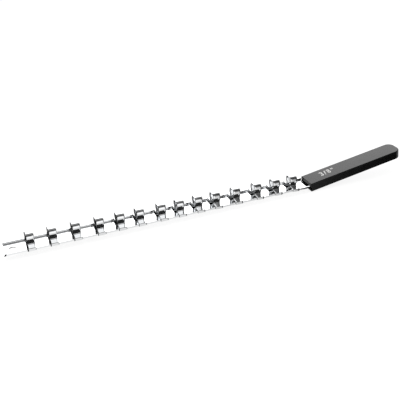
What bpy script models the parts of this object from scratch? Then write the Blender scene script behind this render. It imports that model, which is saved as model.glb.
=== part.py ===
"""Socket rail: a folded steel channel, spring clips that slide along it, and a black grip on its tang.

The origin is on the underside of the channel, halfway along its open length. +X runs to the grip.
"""
import math

import bmesh
import bpy
from mathutils import Matrix, Vector

# Channel: one strip of sheet steel with both long edges folded up
CHANNEL_LENGTH = 0.303          # free end to the grip's mouth
CHANNEL_WIDTH = 0.0204
CHANNEL_HEIGHT = 0.00275
SHEET_THICKNESS = 0.0009
FOLD_RADIUS = 0.001             # inside of each fold
END_CORNER_RADIUS = 0.0022      # seen from above, at the free end
HANG_HOLE_DIAMETER = 0.006
HANG_HOLE_INSET = 0.008         # free end to the hole's centre

# Tang: the middle of the strip, which runs on past the folded edges into the grip and bends up there
FOLD_STOP = 0.001               # the folded edges end this far before the mouth
TANG_INSET = 0.0012             # each side, from where the fold begins
TANG_WIDTH = CHANNEL_WIDTH - 2 * (FOLD_RADIUS + SHEET_THICKNESS + TANG_INSET)
TANG_BEND_START = 0.0014        # past the mouth
TANG_BEND_RADIUS = 0.02
TANG_RISE = math.radians(9.3)

# Grip: a moulded sleeve in line with the tang
GRIP_LENGTH = 0.11
GRIP_PAST_TANG = 0.012          # solid vinyl beyond the tang's end
GRIP_WIDTH = CHANNEL_WIDTH - 0.0004
GRIP_THICKNESS = 0.0091
GRIP_END_RADIUS = 0.006         # seen from above, at the far end
GRIP_EDGE_RADIUS = 0.0009

# Clips: one bent spring strip each, a loop over the channel on two feet that hook round its folds
CLIP_LENGTH = 0.00755           # along the rail
CLIP_SHEET = 0.0006
CLIP_TOP = 0.01345              # above the channel's underside
LOOP_WIDTH = 0.0102             # at its unrounded corners: 9.9 mm across the curve, for a 3/8 inch square
LOOP_WIDEST_HEIGHT = 0.0096
LOOP_TOP_FLAT = 0.0084          # across the top, measured at its unrounded corners
LOOP_SIDE_RADIUS = 0.004
SHOULDER_RADIUS = 0.0022
WAIST_WIDTH = 0.0073            # outer faces, measured at the unrounded corners
WAIST_HEIGHT = 0.0036
WAIST_RADIUS = 0.0008
HOOK_WRAP = math.radians(40)    # how far each hook turns in under the fold
CLIP_SHARES = (                 # left edge of each clip, as shares of the channel's length
    0.0654, 0.1303, 0.1993, 0.2701, 0.3340, 0.3959, 0.4655,
    0.5258, 0.5878, 0.6483, 0.7193, 0.7951, 0.8636, 0.9279,
)

FIT_GAP = 0.0003                # between pieces that touch
CUT_OVERRUN = 0.002             # cutters run past what they cut
ARC_STEP = math.radians(18)

FREE_END = -CHANNEL_LENGTH / 2
MOUTH = CHANNEL_LENGTH / 2
FOLD_END = MOUTH - FOLD_STOP
HOLE_X = FREE_END + HANG_HOLE_INSET
FLOOR_MIDDLE = SHEET_THICKNESS / 2


def clear_scene():
    for thing in list(bpy.data.objects):
        bpy.data.objects.remove(thing)


def new_collection(name):
    made = bpy.data.collections.new(name)
    bpy.context.scene.collection.children.link(made)
    return made


def new_material(name, color, roughness, metallic):
    made = bpy.data.materials.new(name)
    made.use_nodes = True
    shader = made.node_tree.nodes["Principled BSDF"]
    shader.inputs["Base Color"].default_value = (*color, 1)
    shader.inputs["Roughness"].default_value = roughness
    shader.inputs["Metallic"].default_value = metallic
    return made


def new_object(name, mesh, collection, material=None):
    made = bpy.data.objects.new(name, mesh)
    collection.objects.link(made)
    if material:
        mesh.materials.append(material)
        mesh.shade_smooth()
        mesh.set_sharp_from_angle(angle=math.radians(35))
    return made


def arc(centre, radius, start, turn):
    """Points of an arc in a plane, both ends included."""
    steps = max(2, math.ceil(abs(turn) / ARC_STEP))
    angles = [start + turn * step / steps for step in range(steps + 1)]
    return [centre + Vector((math.cos(angle), math.sin(angle))) * radius for angle in angles]


def rounded_path(corners):
    """A path through (point, radius) corners, with an arc in place of each corner that has a radius."""
    path = []
    for place, (corner, radius) in enumerate(corners):
        if not radius:
            path.append(corner)
            continue
        back = (corners[place - 1][0] - corner).normalized()
        ahead = (corners[(place + 1) % len(corners)][0] - corner).normalized()
        turn = math.pi - back.angle(ahead)
        centre = corner + (back + ahead).normalized() * radius / math.cos(turn / 2)
        first = corner + back * radius * math.tan(turn / 2) - centre
        side = 1 if first.angle_signed(corner - centre) < 0 else -1
        path += arc(centre, radius, math.atan2(first.y, first.x), side * turn)
    return path


def add_solidify(thing, thickness):
    wall = thing.modifiers.new("sheet", "SOLIDIFY")
    wall.thickness = thickness
    wall.offset = 0
    wall.use_even_offset = True


def add_cut(thing, cutter):
    cut = thing.modifiers.new("cut by " + cutter.name, "BOOLEAN")
    cut.operation = "DIFFERENCE"
    cut.object = cutter
    cutter.hide_render = True
    cutter.display_type = "WIRE"


def extrude_edges(mesh, edges, points):
    """Draws a row of edges along points given as offsets (x, z) from where the row starts."""
    start = Vector((0, 0))
    for point in points:
        drawn = bmesh.ops.extrude_edge_only(mesh, edges=edges)["geom"]
        moved = [part for part in drawn if isinstance(part, bmesh.types.BMVert)]
        step = point - start
        bmesh.ops.translate(mesh, verts=moved, vec=(step.x, 0, step.y))
        edges = [part for part in drawn if isinstance(part, bmesh.types.BMEdge)]
        start = point
    return edges


def row_of_edges(mesh, x, path):
    """A row of edges across the rail at x, through the (y, z) points of a path."""
    corners = [mesh.verts.new((x, point.x, point.y)) for point in path]
    return [mesh.edges.new(pair) for pair in zip(corners, corners[1:])]


def finish_surface(mesh, name):
    bmesh.ops.recalc_face_normals(mesh, faces=mesh.faces)
    made = bpy.data.meshes.new(name)
    mesh.to_mesh(made)
    mesh.free()
    return made


def channel_path():
    """Middle of the sheet in the channel's section, from wall to wall."""
    side = CHANNEL_WIDTH / 2 - SHEET_THICKNESS / 2
    half = [
        (Vector((TANG_WIDTH / 2, FLOOR_MIDDLE)), 0),
        (Vector((side, FLOOR_MIDDLE)), FOLD_RADIUS + SHEET_THICKNESS / 2),
        (Vector((side, CHANNEL_HEIGHT)), 0),
    ]
    other = [(Vector((-point.x, point.y)), radius) for point, radius in reversed(half)]
    return rounded_path(other + half)


def tang_points(start, grow=0):
    """Middle of the tang as offsets from a start along the rail: straight, bend, and straight again."""
    bend_start = Vector((MOUTH + TANG_BEND_START - start, 0))
    centre = bend_start + Vector((0, TANG_BEND_RADIUS))
    bend = arc(centre, TANG_BEND_RADIUS, -math.pi / 2, TANG_RISE)
    along = Vector((math.cos(TANG_RISE), math.sin(TANG_RISE)))
    straight = GRIP_LENGTH - GRIP_PAST_TANG - TANG_BEND_START - TANG_BEND_RADIUS * TANG_RISE
    return bend + [bend[-1] + along * (straight + grow)]


def strip_mesh():
    """Channel and tang as one open surface in the middle of the sheet."""
    mesh = bmesh.new()
    edges = row_of_edges(mesh, FREE_END, channel_path())
    stations = (HOLE_X + HANG_HOLE_INSET, FOLD_END)  # clear of the hole, then the end of the folds
    edges = extrude_edges(mesh, edges, [Vector((station - FREE_END, 0)) for station in stations])
    reach = (TANG_WIDTH + FIT_GAP) / 2
    tang = [edge for edge in edges if all(abs(corner.co.y) < reach for corner in edge.verts)]
    extrude_edges(mesh, tang, tang_points(FOLD_END))
    return finish_surface(mesh, "rail")


def tang_slot_mesh():
    """Middle surface of the grip's slot, which the tang fills but for the fit's gap."""
    mesh = bmesh.new()
    start = MOUTH - GRIP_THICKNESS
    side = TANG_WIDTH / 2 + FIT_GAP
    edges = row_of_edges(mesh, start, [Vector((-side, FLOOR_MIDDLE)), Vector((side, FLOOR_MIDDLE))])
    extrude_edges(mesh, edges, tang_points(start, FIT_GAP))
    return finish_surface(mesh, "tang slot")


def cylinder_cutter(name, radius, x, y, collection):
    """An upright cylinder that runs past the channel's floor and walls."""
    mesh = bmesh.new()
    depth = CHANNEL_HEIGHT + 2 * CUT_OVERRUN
    centre = Matrix.Translation((x, y, CHANNEL_HEIGHT / 2))
    segments = math.ceil(2 * math.pi / ARC_STEP) * 2
    bmesh.ops.create_cone(
        mesh, cap_ends=True, segments=segments, radius1=radius, radius2=radius, depth=depth, matrix=centre)
    return new_object(name, finish_surface(mesh, name), collection)


def plate_mesh(name, outline, thickness):
    """A closed plate in the XY plane from a flat outline, centred on z = 0."""
    curve = bpy.data.curves.new(name + " outline", "CURVE")
    curve.dimensions = "2D"
    curve.fill_mode = "BOTH"
    curve.extrude = thickness / 2
    spline = curve.splines.new("POLY")
    spline.points.add(len(outline) - 1)
    for knot, point in zip(spline.points, outline):
        knot.co = (point.x, point.y, 0, 1)
    spline.use_cyclic_u = True
    holder = bpy.data.objects.new(name + " outline", curve)
    bpy.context.scene.collection.objects.link(holder)
    evaluated = holder.evaluated_get(bpy.context.evaluated_depsgraph_get())
    made = bpy.data.meshes.new_from_object(evaluated)
    bpy.data.objects.remove(holder)
    made.name = name
    mesh = bmesh.new()
    mesh.from_mesh(made)
    bmesh.ops.remove_doubles(mesh, verts=mesh.verts, dist=FIT_GAP / 100)
    bmesh.ops.dissolve_limit(mesh, angle_limit=math.radians(1), verts=mesh.verts, edges=mesh.edges)
    bmesh.ops.recalc_face_normals(mesh, faces=mesh.faces)
    mesh.to_mesh(made)
    mesh.free()
    return made


def corner_cutter(name, side, collection):
    """The waste outside one rounded corner of the free end."""
    radius = END_CORNER_RADIUS
    centre = Vector((FREE_END + radius, side * (CHANNEL_WIDTH / 2 - radius)))
    rim = arc(centre, radius, math.pi, -side * math.pi / 2)
    outer_x = FREE_END - CUT_OVERRUN
    outer_y = side * (CHANNEL_WIDTH / 2 + CUT_OVERRUN)
    outline = rim + [Vector((rim[-1].x, outer_y)), Vector((outer_x, outer_y)), Vector((outer_x, rim[0].y))]
    mesh = plate_mesh(name, outline, CHANNEL_HEIGHT + 2 * CUT_OVERRUN)
    made = new_object(name, mesh, collection)
    made.location.z = CHANNEL_HEIGHT / 2
    return made


def make_rail(parts, cutters, material):
    rail = new_object("rail", strip_mesh(), parts, material)
    add_solidify(rail, SHEET_THICKNESS)
    add_cut(rail, cylinder_cutter("hanging hole", HANG_HOLE_DIAMETER / 2, HOLE_X, 0, cutters))
    for label, side in (("front", -1), ("back", 1)):
        add_cut(rail, corner_cutter(label + " corner", side, cutters))


def make_grip(parts, cutters, material):
    """The sleeve lies along the tang, so its middle passes through the corner of the bend."""
    half = GRIP_WIDTH / 2
    outline = rounded_path([
        (Vector((-CUT_OVERRUN, -half)), 0),
        (Vector((GRIP_LENGTH, -half)), GRIP_END_RADIUS),
        (Vector((GRIP_LENGTH, half)), GRIP_END_RADIUS),
        (Vector((-CUT_OVERRUN, half)), 0),
    ])
    grip = new_object("grip", plate_mesh("grip", outline, GRIP_THICKNESS), parts, material)
    bend_corner = TANG_BEND_START + TANG_BEND_RADIUS * math.tan(TANG_RISE / 2)
    grip.location = (MOUTH, 0, FLOOR_MIDDLE - bend_corner * math.tan(TANG_RISE))
    grip.rotation_euler.y = -TANG_RISE

    edges = grip.modifiers.new("soft edges", "BEVEL")
    edges.width = GRIP_EDGE_RADIUS
    edges.segments = 3
    edges.limit_method = "ANGLE"
    edges.angle_limit = math.radians(60)

    mesh = bmesh.new()
    bmesh.ops.create_cube(mesh, size=1)
    reach = GRIP_WIDTH + GRIP_THICKNESS
    bmesh.ops.scale(mesh, verts=mesh.verts, vec=(2 * CUT_OVERRUN, reach, reach))
    bmesh.ops.translate(mesh, verts=mesh.verts, vec=(-CUT_OVERRUN, 0, 0))
    mouth = new_object("grip mouth", finish_surface(mesh, "grip mouth"), cutters)
    mouth.location = grip.location
    mouth.rotation_euler = grip.rotation_euler
    add_cut(grip, mouth)

    slot = new_object("tang slot", tang_slot_mesh(), cutters)
    add_solidify(slot, SHEET_THICKNESS + 2 * FIT_GAP)
    add_cut(grip, slot)


def clip_path():
    """Middle of the clip's sheet, seen from the end of the rail, from one hook's tip to the other."""
    half_sheet = CLIP_SHEET / 2
    hook_side = CHANNEL_WIDTH / 2 + FIT_GAP + half_sheet
    hook_top = CHANNEL_HEIGHT + FIT_GAP + half_sheet
    fold_outside = FOLD_RADIUS + SHEET_THICKNESS
    fold_centre = Vector((CHANNEL_WIDTH / 2 - fold_outside, fold_outside))
    wrap_radius = fold_outside + FIT_GAP + half_sheet
    half = rounded_path([
        (Vector((LOOP_TOP_FLAT / 2 - half_sheet, CLIP_TOP - half_sheet)), SHOULDER_RADIUS),
        (Vector((LOOP_WIDTH / 2 - half_sheet, LOOP_WIDEST_HEIGHT)), LOOP_SIDE_RADIUS),
        (Vector((WAIST_WIDTH / 2 - half_sheet, WAIST_HEIGHT)), WAIST_RADIUS),
        (Vector((hook_side, hook_top)), FIT_GAP + half_sheet),
        (Vector((hook_side, fold_outside)), 0),
        (Vector((-LOOP_TOP_FLAT / 2, CLIP_TOP - half_sheet)), 0),
    ])[:-1]
    half += arc(fold_centre, wrap_radius, 0, -HOOK_WRAP)[1:]
    return [Vector((-point.x, point.y)) for point in reversed(half)] + half


def clip_mesh():
    mesh = bmesh.new()
    edges = row_of_edges(mesh, 0, clip_path())
    extrude_edges(mesh, edges, [Vector((CLIP_LENGTH, 0))])
    return finish_surface(mesh, "clip")


def make_clips(parts, material):
    for number, share in enumerate(CLIP_SHARES, start=1):
        clip = new_object(f"clip_{number:02d}", clip_mesh(), parts, material)
        clip.location.x = FREE_END + share * CHANNEL_LENGTH
        add_solidify(clip, CLIP_SHEET)


def main():
    clear_scene()
    parts = new_collection("socket rail")
    cutters = new_collection("cutters")
    chrome = new_material("chrome plate", (0.80, 0.81, 0.82), 0.08, 1)
    spring = new_material("plated spring steel", (0.72, 0.73, 0.74), 0.12, 1)
    vinyl = new_material("black vinyl", (0.012, 0.012, 0.013), 0.45, 0)
    make_rail(parts, cutters, chrome)
    make_grip(parts, cutters, vinyl)
    make_clips(parts, spring)


main()
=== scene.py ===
# Socket rail: chrome-plated strip, sliding spring clips and a black vinyl grip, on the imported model
import math

import bmesh
import bpy
from mathutils import Matrix, Vector


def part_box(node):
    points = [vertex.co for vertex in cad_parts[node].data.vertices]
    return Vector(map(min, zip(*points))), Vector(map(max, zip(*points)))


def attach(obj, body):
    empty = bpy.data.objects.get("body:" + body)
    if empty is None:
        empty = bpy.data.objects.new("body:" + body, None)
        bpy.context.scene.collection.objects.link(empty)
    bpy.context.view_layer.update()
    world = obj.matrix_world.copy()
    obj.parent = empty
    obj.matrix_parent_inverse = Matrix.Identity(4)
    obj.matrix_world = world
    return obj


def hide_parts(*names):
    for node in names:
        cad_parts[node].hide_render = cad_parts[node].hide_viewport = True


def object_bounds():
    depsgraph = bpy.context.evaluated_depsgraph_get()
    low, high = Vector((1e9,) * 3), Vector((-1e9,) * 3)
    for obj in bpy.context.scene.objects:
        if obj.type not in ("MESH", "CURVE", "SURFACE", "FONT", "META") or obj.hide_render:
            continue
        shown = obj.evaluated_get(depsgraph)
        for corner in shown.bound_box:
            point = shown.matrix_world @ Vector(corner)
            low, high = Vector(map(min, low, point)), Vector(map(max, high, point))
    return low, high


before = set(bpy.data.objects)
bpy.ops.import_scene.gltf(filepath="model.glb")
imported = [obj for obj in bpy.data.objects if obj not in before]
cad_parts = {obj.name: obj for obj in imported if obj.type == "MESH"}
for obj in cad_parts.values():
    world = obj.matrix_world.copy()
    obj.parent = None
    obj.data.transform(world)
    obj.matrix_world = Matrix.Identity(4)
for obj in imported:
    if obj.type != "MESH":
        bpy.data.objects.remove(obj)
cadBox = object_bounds()
print("model loaded:", len(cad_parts), "nodes")

mm = 0.001


def linear(code):
    parts = [int(code[i:i + 2], 16) / 255 for i in (1, 3, 5)]
    return [c / 12.92 if c <= 0.04045 else ((c + 0.055) / 1.055) ** 2.4 for c in parts] + [1]


def addNode(tree, kind, settings=None, links=None):
    # settings and links name an input, or give its number where two share a name
    node = tree.nodes.new(kind)
    for name, value in (settings or {}).items():
        if name in node.inputs:
            node.inputs[name].default_value = value
        elif name.isdigit():
            node.inputs[int(name)].default_value = value
        else:
            setattr(node, name, value)
    for name, source in (links or {}).items():
        tree.links.new(source, node.inputs[int(name)] if name.isdigit() else node.inputs[name])
    return node


def newMaterial(name):
    material = bpy.data.materials.new(name)
    material.use_nodes = True
    tree = material.node_tree
    tree.nodes.clear()
    shader = addNode(tree, "ShaderNodeBsdfPrincipled")
    addNode(tree, "ShaderNodeOutputMaterial", None, {"Surface": shader.outputs[0]})
    return material, tree, shader


def newObject(name, mesh):
    made = bpy.data.objects.new(name, mesh)
    bpy.context.scene.collection.objects.link(made)
    return made


def asPlainMesh(made, name):
    evaluated = made.evaluated_get(bpy.context.evaluated_depsgraph_get())
    mesh = bpy.data.meshes.new_from_object(evaluated)
    mesh.name = name
    bpy.data.objects.remove(made)
    return mesh


meshing = {
    "mergeDistance": 0.0005 * mm,
    "sharpAngle": math.radians(32),    # steeper edges than this stay sharp
}


def turnOut(mesh):
    # merges doubles, turns all faces out and shades them smooth
    shaped = bmesh.new()
    shaped.from_mesh(mesh)
    bmesh.ops.remove_doubles(shaped, verts=shaped.verts, dist=meshing["mergeDistance"])
    bmesh.ops.recalc_face_normals(shaped, faces=shaped.faces)
    shaped.to_mesh(mesh)
    shaped.free()
    mesh.shade_smooth()
    mesh.set_sharp_from_angle(angle=meshing["sharpAngle"])
    return mesh


def newPiece(name, mesh):
    # weighted normals: a flat face mirrors as a flat one, up to where its rounded edge starts
    made = newObject(name, turnOut(mesh))
    flats = made.modifiers.new("flats", "WEIGHTED_NORMAL")
    flats.keep_sharp = True
    return newObject(name, asPlainMesh(made, name))


# materials, with their patterns' scales in cells per metre

def chromePlate():
    # bright chromium over nickel on rolled sheet: a near mirror with the faint waviness of the rolled steel
    material, tree, shader = newMaterial("chromePlate")
    shader.inputs["Base Color"].default_value = linear("#F6F7F8")
    shader.inputs["Metallic"].default_value = 1
    place = addNode(tree, "ShaderNodeTexCoord").outputs["Object"]
    # cells of 33 mm along the strip and 3.3 mm across it
    rolled = addNode(tree, "ShaderNodeMapping", {"Scale": (30, 300, 300)}, {"Vector": place}).outputs[0]
    haze = addNode(tree, "ShaderNodeTexNoise", {"Scale": 1, "Detail": 3}, {"Vector": rolled})
    gloss = addNode(tree, "ShaderNodeMapRange", {"To Min": 0.03, "To Max": 0.08}, {"Value": haze.outputs[0]})
    tree.links.new(gloss.outputs[0], shader.inputs["Roughness"])
    wave = addNode(tree, "ShaderNodeTexNoise", {"Scale": 0.6, "Detail": 1}, {"Vector": rolled})
    bump = addNode(tree, "ShaderNodeBump", {"Strength": 0.05, "Distance": 0.02 * mm},
                   {"Height": wave.outputs[0]})
    tree.links.new(bump.outputs[0], shader.inputs["Normal"])
    return material


def springPlate():
    # plated spring steel, tumbled before plating: bright, a little softer than the strip
    material, tree, shader = newMaterial("platedSpringSteel")
    shader.inputs["Base Color"].default_value = linear("#F0F1F2")
    shader.inputs["Metallic"].default_value = 1
    place = addNode(tree, "ShaderNodeTexCoord").outputs["Object"]
    # streaks 5 mm long, the way the wire was drawn, and 1.1 mm wide
    drawn = addNode(tree, "ShaderNodeMapping", {"Scale": (900, 200, 200)}, {"Vector": place}).outputs[0]
    haze = addNode(tree, "ShaderNodeTexNoise", {"Scale": 1, "Detail": 3}, {"Vector": drawn})
    gloss = addNode(tree, "ShaderNodeMapRange", {"To Min": 0.05, "To Max": 0.11}, {"Value": haze.outputs[0]})
    tree.links.new(gloss.outputs[0], shader.inputs["Roughness"])
    return material


def punchedWallAndShade():
    # the wall of a punched hole: torn steel under thin plating, duller than the faces; its near-black colour
    # is partly the torn steel and partly painted shade, for the shaded paper under the rail that the wall
    # would mirror
    material, tree, shader = newMaterial("punchedWallAndShade")
    # near-black: painted shade of the dark gap under the rail, mirrored in the wall
    shader.inputs["Base Color"].default_value = linear("#1C1C1D")
    shader.inputs["Metallic"].default_value = 1
    place = addNode(tree, "ShaderNodeTexCoord").outputs["Object"]
    # tears of 0.25 mm
    torn = addNode(tree, "ShaderNodeTexNoise", {"Scale": 4000, "Detail": 2}, {"Vector": place})
    gloss = addNode(tree, "ShaderNodeMapRange", {"To Min": 0.3, "To Max": 0.55}, {"Value": torn.outputs[0]})
    tree.links.new(gloss.outputs[0], shader.inputs["Roughness"])
    return material


def blackVinyl():
    # plasticised PVC, dip moulded: soft black with a satin skin and a fine leathery grain
    material, tree, shader = newMaterial("blackVinyl")
    shader.inputs["IOR"].default_value = 1.53
    place = addNode(tree, "ShaderNodeTexCoord").outputs["Object"]
    # blotches of 8 mm
    blotch = addNode(tree, "ShaderNodeTexNoise", {"Scale": 120, "Detail": 4}, {"Vector": place}).outputs[0]
    tone = addNode(tree, "ShaderNodeMix", {"data_type": "RGBA"}, {"0": blotch})
    tone.inputs[6].default_value = linear("#020202")
    tone.inputs[7].default_value = linear("#060607")
    tree.links.new(tone.outputs[2], shader.inputs["Base Color"])
    gloss = addNode(tree, "ShaderNodeMapRange", {"To Min": 0.20, "To Max": 0.28}, {"Value": blotch})
    tree.links.new(gloss.outputs[0], shader.inputs["Roughness"])
    # grain of 0.4 mm
    grain = addNode(tree, "ShaderNodeTexVoronoi", {"Scale": 2500}, {"Vector": place})
    bump = addNode(tree, "ShaderNodeBump", {"Strength": 0.1, "Distance": 0.02 * mm},
                   {"Height": grain.outputs[0]})
    tree.links.new(bump.outputs[0], shader.inputs["Normal"])
    return material


def whiteInk():
    # pad-printed white vinyl ink: matt and slightly uneven
    material, tree, shader = newMaterial("whiteInk")
    place = addNode(tree, "ShaderNodeTexCoord").outputs["Object"]
    # thin spots of 1.1 mm
    cover = addNode(tree, "ShaderNodeTexNoise", {"Scale": 900, "Detail": 3}, {"Vector": place})
    tone = addNode(tree, "ShaderNodeMix", {"data_type": "RGBA"}, {"0": cover.outputs[0]})
    tone.inputs[6].default_value = linear("#DADAD8")
    tone.inputs[7].default_value = linear("#F4F4F2")
    tree.links.new(tone.outputs[2], shader.inputs["Base Color"])
    shader.inputs["Roughness"].default_value = 0.55
    return material


# bent strips: a section swept along a centre line whose corners carry their own bend radius

strip = {
    "bendSteps": 11,
    "edgeSteps": 9,
}


def bentStripTree():
    tree = bpy.data.node_groups.new("bentStrip", "GeometryNodeTree")
    face = tree.interface
    face.new_socket("Geometry", in_out="INPUT", socket_type="NodeSocketGeometry")
    for name in ("Width", "Thickness", "Edge Run"):
        face.new_socket(name, in_out="INPUT", socket_type="NodeSocketFloat")
    face.new_socket("Offset", in_out="INPUT", socket_type="NodeSocketVector")
    face.new_socket("Material", in_out="INPUT", socket_type="NodeSocketMaterial")
    face.new_socket("Geometry", in_out="OUTPUT", socket_type="NodeSocketGeometry")
    given = tree.nodes.new("NodeGroupInput").outputs
    line = addNode(tree, "GeometryNodeMeshToCurve", None, {"Mesh": given["Geometry"]})
    bend = addNode(tree, "GeometryNodeInputNamedAttribute", {"Name": "bend"})
    path = addNode(tree, "GeometryNodeFilletCurve",
                   {"mode": "POLY", "Count": strip["bendSteps"], "Limit Radius": False},
                   {"Curve": line.outputs[0], "Radius": bend.outputs["Attribute"]})
    # the section's ends are quarter ellipses, as long as the edge run: fillets on a tall sheet, flattened
    run = addNode(tree, "ShaderNodeMath", {"operation": "MULTIPLY", "1": 2}, {"0": given["Edge Run"]})
    tall = addNode(tree, "ShaderNodeMath", {"operation": "MAXIMUM"},
                   {"0": run.outputs[0], "1": given["Thickness"]})
    flat = addNode(tree, "ShaderNodeMath", {"operation": "DIVIDE"},
                   {"0": given["Thickness"], "1": tall.outputs[0]})
    sheet = addNode(tree, "GeometryNodeCurvePrimitiveQuadrilateral", None,
                    {"Width": given["Width"], "Height": tall.outputs[0]})
    rounded = addNode(tree, "GeometryNodeFilletCurve",
                      {"mode": "POLY", "Count": strip["edgeSteps"], "Limit Radius": True},
                      {"Curve": sheet.outputs[0], "Radius": given["Edge Run"]})
    squash = addNode(tree, "ShaderNodeCombineXYZ", {"X": 1, "Z": 1}, {"Y": flat.outputs[0]})
    section = addNode(tree, "GeometryNodeTransform", None,
                      {"Geometry": rounded.outputs[0], "Scale": squash.outputs[0]})
    swept = addNode(tree, "GeometryNodeCurveToMesh", {"Fill Caps": True},
                    {"Curve": path.outputs[0], "Profile Curve": section.outputs[0]})
    placed = addNode(tree, "GeometryNodeTransform", None,
                     {"Geometry": swept.outputs[0], "Translation": given["Offset"]})
    real = addNode(tree, "GeometryNodeRealizeInstances", None, {"Geometry": placed.outputs[0]})
    dressed = addNode(tree, "GeometryNodeSetMaterial", None,
                      {"Geometry": real.outputs[0], "Material": given["Material"]})
    out = tree.nodes.new("NodeGroupOutput")
    tree.links.new(dressed.outputs[0], out.inputs[0])
    return tree


def bentStrip(name, tree, corners, values):
    # corners are (point, bend radius) along the middle of the sheet
    mesh = bpy.data.meshes.new(name + "Line")
    points = [point for point, radius in corners]
    mesh.from_pydata(points, [(i, i + 1) for i in range(len(points) - 1)], [])
    bend = mesh.attributes.new("bend", "FLOAT", "POINT")
    bend.data.foreach_set("value", [radius for point, radius in corners])
    made = newObject(name, mesh)
    modifier = made.modifiers.new("strip", "NODES")
    modifier.node_group = tree
    for item in tree.interface.items_tree:
        if item.in_out == "INPUT" and item.name in values:
            modifier[item.identifier] = values[item.name]
    return asPlainMesh(made, name)


rail = {                       # free end at -X, open side up
    "length": 303 * mm,        # free end to the grip's mouth
    "width": 20.4 * mm,
    "height": 2.75 * mm,
    "sheet": 0.9 * mm,
    "foldRadius": 0.8 * mm,    # inside
    "edgeRadius": 0.3 * mm,    # sheared edges, rounded over under the plating
    "edgeAngle": math.radians(50),     # steeper edges than this are rounded
    "edgeSegments": 4,
    "cornerRadius": 2.6 * mm,  # seen from above, at the free end
    "cornerSteps": 16,
    "holeRadius": 3.0 * mm,
    "holeInset": 8.0 * mm,     # the hole's middle from the free end
    "holeSegments": 96,
    "foldStop": 1.0 * mm,      # folds end before the mouth
    "tangWidth": 14.2 * mm,
    "tangBend": 20.0 * mm,     # radius
    "tangOverlap": 2.0 * mm,   # with the channel's floor, where the two join
    "bendStart": 1.4 * mm,     # past the mouth
    "bendShare": 2.0 * mm,     # what the bend takes of the tang's length
    "tangPast": 12.0 * mm,     # grip beyond the tang's end
    "cutReach": 2.0 * mm,      # what the corner tools reach past the strip
    "cutDepth": 11.0 * mm,     # of the hole's tool
}

grip = {
    "length": 110 * mm,
    "width": 20.0 * mm,
    "thickness": 9.1 * mm,
    "rise": math.radians(9.3),
    "endRadius": 7.0 * mm,     # seen from above, at the far end
    "endSteps": 20,
    "edgeRadius": 0.9 * mm,
    "edgeAngle": 1.0,          # radians; steeper edges than this are rounded
    "edgeSegments": 6,
    "mouthRadius": 0.3 * mm,
    "mouthSegments": 3,
    "mouthZone": 0.1 * mm,     # edges this close to the mouth belong to its rim
    "cavityGap": 0.3 * mm,
}


def cylinderAt(name, radius, x, height, segments):
    mesh = bpy.data.meshes.new(name)
    shaped = bmesh.new()
    bmesh.ops.create_cone(shaped, cap_ends=True, segments=segments, radius1=radius, radius2=radius,
                          depth=height, matrix=Matrix.Translation((x, 0, 0)))
    shaped.to_mesh(mesh)
    shaped.free()
    return newObject(name, mesh)


def prism(name, outline, low, high):
    # closed prism over an outline in the XY plane
    mesh = bpy.data.meshes.new(name)
    shaped = bmesh.new()
    ring = [shaped.verts.new((x, y, low)) for x, y in outline]
    cap = shaped.faces.new(ring)
    drawn = bmesh.ops.extrude_face_region(shaped, geom=[cap])["geom"]
    lifted = [v for v in drawn if isinstance(v, bmesh.types.BMVert)]
    bmesh.ops.translate(shaped, verts=lifted, vec=(0, 0, high - low))
    bmesh.ops.recalc_face_normals(shaped, faces=shaped.faces)
    shaped.to_mesh(mesh)
    shaped.free()
    return newObject(name, mesh)


def arcPoints(x, y, radius, start, turn, steps):
    angles = [start + turn * i / steps for i in range(steps + 1)]
    return [(x + radius * math.cos(angle), y + radius * math.sin(angle)) for angle in angles]


def cut(made, tool, operation="DIFFERENCE"):
    modifier = made.modifiers.new("cut", "BOOLEAN")
    modifier.operation = operation
    modifier.object = tool
    modifier.solver = "EXACT"
    return modifier


def soften(made, width, segments, angle):
    modifier = made.modifiers.new("soft", "BEVEL")
    modifier.width = width
    modifier.segments = segments
    modifier.limit_method = "ANGLE"
    modifier.angle_limit = angle
    modifier.miter_outer = "MITER_ARC"


def bendCorner():
    run = rail["bendStart"] + rail["tangBend"] * math.tan(grip["rise"] / 2)
    return Vector((rail["length"] / 2 + run, 0, rail["sheet"] / 2))


def tangLine(start, extra):
    corner = bendCorner()
    along = Vector((math.cos(grip["rise"]), 0, math.sin(grip["rise"])))
    straight = grip["length"] - rail["tangPast"] - rail["bendStart"] - rail["bendShare"] + extra
    return [(Vector((start, 0, corner.z)), 0), (corner, rail["tangBend"]), (corner + along * straight, 0)]


def gripPlace():
    # the grip lies along the tang: its middle plane passes through the corner of the bend
    corner, mouth = bendCorner(), rail["length"] / 2
    origin = Vector((mouth, 0, corner.z - (corner.x - mouth) * math.tan(grip["rise"])))
    return Matrix.Translation(origin) @ Matrix.Rotation(-grip["rise"], 4, "Y")


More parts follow.
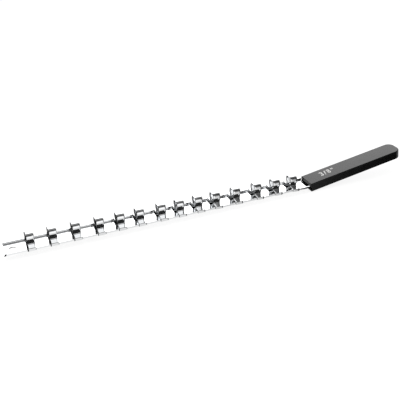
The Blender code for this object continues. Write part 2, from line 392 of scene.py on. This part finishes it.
def makeRail(tree, material, holeWallShade):
    half = rail["sheet"] / 2
    side = rail["width"] / 2 - half
    fold = rail["foldRadius"] + half
    stop = rail["foldStop"]
    mouth = rail["length"] / 2
    right = [(Vector((0, side, half)), fold), (Vector((0, side, rail["height"])), 0)]
    left = [(Vector((0, -point.y, point.z)), radius) for point, radius in reversed(right)]
    channel = bentStrip("railChannel", tree, left + right, {
        "Width": rail["length"] - stop, "Thickness": rail["sheet"], "Edge Run": 0.0,
        "Offset": (-stop / 2, 0, 0), "Material": material})
    piece = newObject("railStrip", turnOut(channel))
    tang = bentStrip("railTang", tree, tangLine(mouth - rail["tangOverlap"], 0), {
        "Width": rail["tangWidth"], "Thickness": rail["sheet"], "Edge Run": 0.0,
        "Offset": (0, 0, 0), "Material": material})
    tools = [newObject("tangTool", turnOut(tang))]
    cut(piece, tools[0], "UNION")

    radius, reach = rail["cornerRadius"], rail["cutReach"]
    for name, way in (("frontCorner", -1), ("backCorner", 1)):
        y = way * (rail["width"] / 2 - radius)
        rim = arcPoints(radius - mouth, y, radius, math.pi, -way * math.pi / 2, rail["cornerSteps"])
        outerY = way * (rail["width"] / 2 + reach)
        outline = rim + [(rim[-1][0], outerY), (-mouth - reach, outerY), (-mouth - reach, y)]
        tools.append(prism(name, outline, -reach, rail["height"] + reach))
        cut(piece, tools[-1])
    soften(piece, rail["edgeRadius"], rail["edgeSegments"], rail["edgeAngle"])
    # punched last: its wall keeps a sharp rim and a duller surface, darkened with painted shade
    hole = cylinderAt("holeTool", rail["holeRadius"], rail["holeInset"] - mouth, rail["cutDepth"],
                      rail["holeSegments"])
    hole.data.materials.append(holeWallShade)
    cut(piece, hole).material_mode = "TRANSFER"
    tools.append(hole)
    mesh = asPlainMesh(piece, "railStrip")
    for tool in tools:
        bpy.data.objects.remove(tool)
    piece = newPiece("railStrip", mesh)
    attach(piece, "rail_and_grip")
    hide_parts("rail")
    print("rail made:", len(mesh.vertices), "points")


def makeGrip(tree, material):
    half, end = grip["width"] / 2, grip["endRadius"]
    length, steps = grip["length"], grip["endSteps"]
    outline = [(0, -half)] + arcPoints(length - end, end - half, end, -math.pi / 2, math.pi / 2, steps)
    outline += arcPoints(length - end, half - end, end, 0, math.pi / 2, steps) + [(0, half)]
    body = prism("gripBody", outline, -grip["thickness"] / 2, grip["thickness"] / 2)
    shaped = bmesh.new()
    shaped.from_mesh(body.data)
    longEdges = [e for e in shaped.edges
                 if len(e.link_faces) == 2 and e.calc_face_angle() > grip["edgeAngle"]
                 and not all(abs(v.co.x) < grip["mouthZone"] for v in e.verts)]
    bmesh.ops.bevel(shaped, geom=longEdges, offset=grip["edgeRadius"], segments=grip["edgeSegments"],
                    profile=0.5, affect="EDGES")
    mouthEdges = [e for e in shaped.edges if all(abs(v.co.x) < grip["mouthZone"] for v in e.verts)]
    bmesh.ops.bevel(shaped, geom=mouthEdges, offset=grip["mouthRadius"], segments=grip["mouthSegments"],
                    profile=0.5, affect="EDGES")
    shaped.to_mesh(body.data)
    shaped.free()
    body.data.transform(gripPlace())
    gap = grip["cavityGap"]
    slot = bentStrip("gripSlot", tree, tangLine(rail["length"] / 2 - grip["thickness"], gap), {
        "Width": rail["tangWidth"] + 2 * gap, "Thickness": rail["sheet"] + 2 * gap, "Edge Run": 0.0,
        "Offset": (0, 0, 0), "Material": material})
    tool = newObject("slotTool", turnOut(slot))
    cut(body, tool)
    body.data.materials.append(material)
    mesh = asPlainMesh(body, "gripSleeve")
    bpy.data.objects.remove(tool)
    piece = newPiece("gripSleeve", mesh)
    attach(piece, "rail_and_grip")
    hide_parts("grip")
    print("grip made:", len(mesh.vertices), "points")


clip = {                       # one bent strip, a loop on two hooked feet
    "length": 7.55 * mm,       # along the rail
    "sheet": 0.55 * mm,
    "edgeRun": 1.7 * mm,       # flattened wire: its faces fall away to round edges
    "top": 13.45 * mm,
    "topFlat": 8.4 * mm,
    "shoulderRadius": 2.9 * mm,
    "loopWidth": 10.2 * mm,
    "loopHeight": 9.6 * mm,
    "loopRadius": 4.0 * mm,
    "waistWidth": 7.3 * mm,
    "waistHeight": 3.4 * mm,
    "waistRadius": 0.7 * mm,
    "gap": 0.08 * mm,          # round the folds
    "hookWrap": math.radians(34),
    "hookSteps": 8,
}


def makeClips(tree, material):
    half = clip["sheet"] / 2
    fold = rail["foldRadius"] + rail["sheet"]
    side = rail["width"] / 2 + clip["gap"] + half
    over = rail["height"] + clip["gap"] + half
    wrap = fold + clip["gap"] + half
    centre = Vector((0, rail["width"] / 2 - fold, fold))
    right = [
        (Vector((0, clip["topFlat"] / 2 - half, clip["top"] - half)), clip["shoulderRadius"]),
        (Vector((0, clip["loopWidth"] / 2 - half, clip["loopHeight"])), clip["loopRadius"]),
        (Vector((0, clip["waistWidth"] / 2 - half, clip["waistHeight"])), clip["waistRadius"]),
        (Vector((0, side, over)), clip["gap"] + half),
        (Vector((0, side, fold)), 0),
    ]
    for step in range(1, clip["hookSteps"] + 1):
        turn = clip["hookWrap"] * step / clip["hookSteps"]
        right.append((centre + Vector((0, math.cos(turn), -math.sin(turn))) * wrap, 0))
    left = [(Vector((0, -point.y, point.z)), radius) for point, radius in reversed(right)]
    for name in sorted(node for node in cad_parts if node.startswith("clip_")):
        low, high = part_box(name)
        mesh = bentStrip(name + "Spring", tree, left + right, {
            "Width": clip["length"], "Thickness": clip["sheet"], "Edge Run": clip["edgeRun"],
            "Offset": ((low.x + high.x) / 2, 0, 0), "Material": material})
        piece = newPiece(name + "Spring", mesh)
        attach(piece, name)
        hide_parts(name)
    print("clips made")


size = {                       # the drive size, printed on the grip in white
    # sign, its middle past the mouth and across, its length and its height, all in mm
    "signs": (
        ("3", 18.5, 0.6, 3.7, 7.6),
        ("/", 22.9, 0.7, 3.2, 7.6),
        ("8", 27.3, 1.0, 3.7, 7.6),
        ("\"", 32.3, 3.2, 2.6, 2.8),
    ),
    "weight": 0.03,            # outline grown, as a share of the type's size
    "lift": 0.02 * mm,
    "thickness": 0.03 * mm,
}


def makeSize(material):
    shaped = bmesh.new()
    for sign, x, y, length, height in size["signs"]:
        words = bpy.data.curves.new("sign", "FONT")
        words.body = sign
        words.offset = size["weight"]
        mesh = asPlainMesh(newObject("sign", words), "sign")
        low = Vector([min(v.co[i] for v in mesh.vertices) for i in range(2)])
        high = Vector([max(v.co[i] for v in mesh.vertices) for i in range(2)])
        middle = (low + high) / 2
        mesh.transform(Matrix.Translation((-middle.x, -middle.y, 0)))
        mesh.transform(Matrix.Diagonal((length / (high.x - low.x), height / (high.y - low.y), 1, 1)))
        mesh.transform(Matrix.Translation((x, y, 0)))
        shaped.from_mesh(mesh)
    bmesh.ops.scale(shaped, verts=shaped.verts, vec=(mm, mm, mm))
    bmesh.ops.solidify(shaped, geom=shaped.faces, thickness=-size["thickness"])
    mesh = bpy.data.meshes.new("driveSize")
    shaped.to_mesh(mesh)
    shaped.free()
    mesh.transform(Matrix.Translation((0, 0, grip["thickness"] / 2 + size["lift"])))
    mesh.transform(gripPlace())
    mesh.materials.append(material)
    piece = newObject("driveSize", mesh)
    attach(piece, "rail_and_grip")
    print("drive size printed")


view = {                       # the photograph's own camera, in its axes: right, down, forward
    "focal": 586.98,           # in pixels of the frame
    "frame": 400,
    "sensor": 36,
    "nearest": 10 * mm,
    "railAxis": Vector((0.9265, -0.2020, 0.3176)),
    "crossAxis": Vector((-0.3758, -0.4480, 0.8112)),
    "railMiddle": Vector((-30.523, 13.986, 557.572)) * mm,
}


def placeCamera():
    right = view["railAxis"].normalized()
    across = (view["crossAxis"] - right * view["crossAxis"].dot(right)).normalized()
    up = right.cross(across)
    axes = Matrix((right, across, up)).transposed()      # world to the camera's axes
    flip = Matrix.Diagonal((1, -1, -1))
    made = bpy.data.cameras.new("camera")
    made.sensor_width = view["sensor"]
    made.lens = view["focal"] * made.sensor_width / view["frame"]
    made.clip_start = view["nearest"]
    camera = newObject("camera", made)
    position = -(axes.transposed() @ view["railMiddle"])
    camera.matrix_world = Matrix.Translation(position) @ (flip @ axes).transposed().to_4x4()
    bpy.context.scene.camera = camera
    print("camera at", [round(c, 4) for c in position])


studio = {
    "floorDrop": 0.2 * mm,     # below the lowest point
    "floorReach": 3,           # metres each way
    "floorGrey": "#8C8C8C",
    "floorRoughness": 0.9,
    "paperGlow": 0.87,         # the paper's own light; the lamps add the rest, so a shadow stays
    "worldLevel": 0.55,        # plain light from all round, to diffuse surfaces
    # what mirrors see of the room, as (degrees from the zenith, level): front below 0, back above 0
    "rooms": {
        "end": ((-180, 0.9), (-100, 0.9), (-94, 1.2), (-78, 1.2), (-70, 0.48), (-55, 0.46), (-49, 0.02),
                (-24, 0.02), (-17, 0.27), (38, 0.27), (46, 1)),
        "left": ((-180, 0.8), (-100, 0.8), (-94, 1.2), (-78, 1.2), (-70, 0.8), (-55, 0.7), (-49, 0.02),
                 (-24, 0.02), (-17, 0.27), (38, 0.27), (46, 1)),
        "right": ((-180, 0.6), (-92, 0.72), (-87, 0.72), (-83, 0.1), (-68, 0.12), (-64, 0.27), (-56, 0.27),
                  (-51, 0.02), (-10, 0.02), (-3, 0.27), (38, 0.3), (46, 1)),
        "far": ((-180, 0), (-30, 0), (-20, 0.2), (38, 0.27), (46, 1), (80, 1), (90, 0)),
        "side": ((-180, 0.6), (180, 0.6)),
    },
    # where one room turns into the next, along the rail's axis
    "turns": ((0.03, 0.13), (0.31, 0.34), (0.466, 0.48), (0.74, 0.82)),
    "flag": (-0.12, -0.04),    # a dark flag stands at the left of them, along the same axis
    "flagLevel": 0.01,
    "flagTop": (0.6, 0.75),    # and ends upwards
    "back": {"place": (0.40, 0.75, 0.52), "aim": (0.15, 0, 0), "size": (1.2, 0.4), "power": 1.8,
             "mirrored": True},
    "overhead": {"place": (0, 0.1, 0.8), "aim": (0, 0, 0), "size": (0.9, 0.6), "power": 2.4,
                 "mirrored": False},
}


def addLamp(name, values):
    lamp = bpy.data.lights.new(name, "AREA")
    lamp.shape = "RECTANGLE"
    lamp.size, lamp.size_y = values["size"]
    lamp.energy = values["power"]
    made = newObject(name, lamp)
    made.location = values["place"]
    way = Vector(values["aim"]) - made.location
    made.rotation_euler = way.to_track_quat("-Z", "Y").to_euler()
    made.visible_glossy = values["mirrored"]


def makeWorld():
    world = bpy.data.worlds.new("studio")
    bpy.context.scene.world = world
    world.use_nodes = True
    tree = world.node_tree
    tree.nodes.clear()
    place = addNode(tree, "ShaderNodeTexCoord")
    way = addNode(tree, "ShaderNodeSeparateXYZ", None, {"Vector": place.outputs["Generated"]})
    tilt = addNode(tree, "ShaderNodeMath", {"operation": "ARCTAN2"},
                   {"0": way.outputs["Y"], "1": way.outputs["Z"]})
    degrees = addNode(tree, "ShaderNodeMath", {"operation": "DEGREES"}, {"0": tilt.outputs[0]})
    turned = addNode(tree, "ShaderNodeMapRange", {"From Min": -180, "From Max": 180},
                     {"Value": degrees.outputs[0]})
    rooms = []
    for bands in studio["rooms"].values():
        ramp = addNode(tree, "ShaderNodeValToRGB", None, {"Fac": turned.outputs[0]})
        stops = ramp.color_ramp.elements
        stops.remove(stops[1])
        for number, (angle, level) in enumerate(bands):
            position = (angle + 180) / 360
            stop = stops[0] if number == 0 else stops.new(position)
            stop.position = position
            stop.color = (level, level, level, 1)
        rooms.append(ramp.outputs["Color"])
    room = rooms[0]
    for further, (start, end) in zip(rooms[1:], studio["turns"]):
        share = addNode(tree, "ShaderNodeMapRange", {"From Min": start, "From Max": end},
                        {"Value": way.outputs["X"]})
        room = addNode(tree, "ShaderNodeMix", {"data_type": "RGBA"},
                       {"0": share.outputs[0], "6": room, "7": further}).outputs[2]
    start, end = studio["flag"]
    left = addNode(tree, "ShaderNodeMapRange",
                   {"From Min": start, "From Max": end, "To Min": studio["flagLevel"]},
                   {"Value": way.outputs["X"]})
    start, end = studio["flagTop"]
    above = addNode(tree, "ShaderNodeMapRange", {"From Min": start, "From Max": end},
                    {"Value": way.outputs["Z"]})
    flag = addNode(tree, "ShaderNodeMath", {"operation": "MAXIMUM"},
                   {"0": left.outputs[0], "1": above.outputs[0]})
    mirrored = addNode(tree, "ShaderNodeMix", {"data_type": "RGBA", "blend_type": "MULTIPLY", "0": 1},
                       {"6": room, "7": flag.outputs[0]})
    # the eye sees white, diffuse surfaces get the plain level, and mirrors get the room
    rays = addNode(tree, "ShaderNodeLightPath")
    seen = addNode(tree, "ShaderNodeMath", {"operation": "MAXIMUM"},
                   {"0": rays.outputs["Is Camera Ray"], "1": rays.outputs["Is Transmission Ray"]})
    level = addNode(tree, "ShaderNodeMapRange", {"To Min": studio["worldLevel"], "To Max": 1},
                    {"Value": seen.outputs[0]})
    light = addNode(tree, "ShaderNodeMix", {"data_type": "RGBA"},
                    {"0": rays.outputs["Is Glossy Ray"], "6": level.outputs[0], "7": mirrored.outputs[2]})
    paint = addNode(tree, "ShaderNodeBackground", None, {"Color": light.outputs[2]})
    addNode(tree, "ShaderNodeOutputWorld", None, {"Surface": paint.outputs[0]})


def makeFloor():
    # plain white paper, uncoated: it has no shine
    mesh = bpy.data.meshes.new("floor")
    reach, low = studio["floorReach"], cadBox[0].z - studio["floorDrop"]
    mesh.from_pydata([(-reach, -reach, low), (reach, -reach, low), (reach, reach, low), (-reach, reach, low)],
                     [], [(0, 1, 2, 3)])
    material, tree, shader = newMaterial("floorPaper")
    shader.inputs["Base Color"].default_value = linear(studio["floorGrey"])
    shader.inputs["Roughness"].default_value = studio["floorRoughness"]
    shader.inputs["Specular IOR Level"].default_value = 0
    rays = addNode(tree, "ShaderNodeLightPath")
    seen = addNode(tree, "ShaderNodeMath", {"operation": "MAXIMUM"},
                   {"0": rays.outputs["Is Camera Ray"], "1": rays.outputs["Is Transmission Ray"]})
    share = addNode(tree, "ShaderNodeMath", {"operation": "MULTIPLY", "1": studio["paperGlow"]},
                    {"0": seen.outputs[0]})
    glow = addNode(tree, "ShaderNodeEmission", None, {"Strength": share.outputs[0]})
    lit = addNode(tree, "ShaderNodeAddShader", None, {"0": shader.outputs[0], "1": glow.outputs[0]})
    output = next(node for node in tree.nodes if node.type == "OUTPUT_MATERIAL")
    tree.links.new(lit.outputs[0], output.inputs["Surface"])
    mesh.materials.append(material)
    floor = newObject("floor", mesh)
    floor.visible_glossy = False     # mirrors see the room in its place


def makeStudio():
    makeWorld()
    makeFloor()
    addLamp("overhead", studio["overhead"])
    addLamp("back", studio["back"])
    bpy.context.scene.view_settings.view_transform = "Standard"
    print("studio made")


placeCamera()
makeStudio()
strips = bentStripTree()
makeClips(strips, springPlate())
makeRail(strips, chromePlate(), punchedWallAndShade())
makeGrip(strips, blackVinyl())
makeSize(whiteInk())
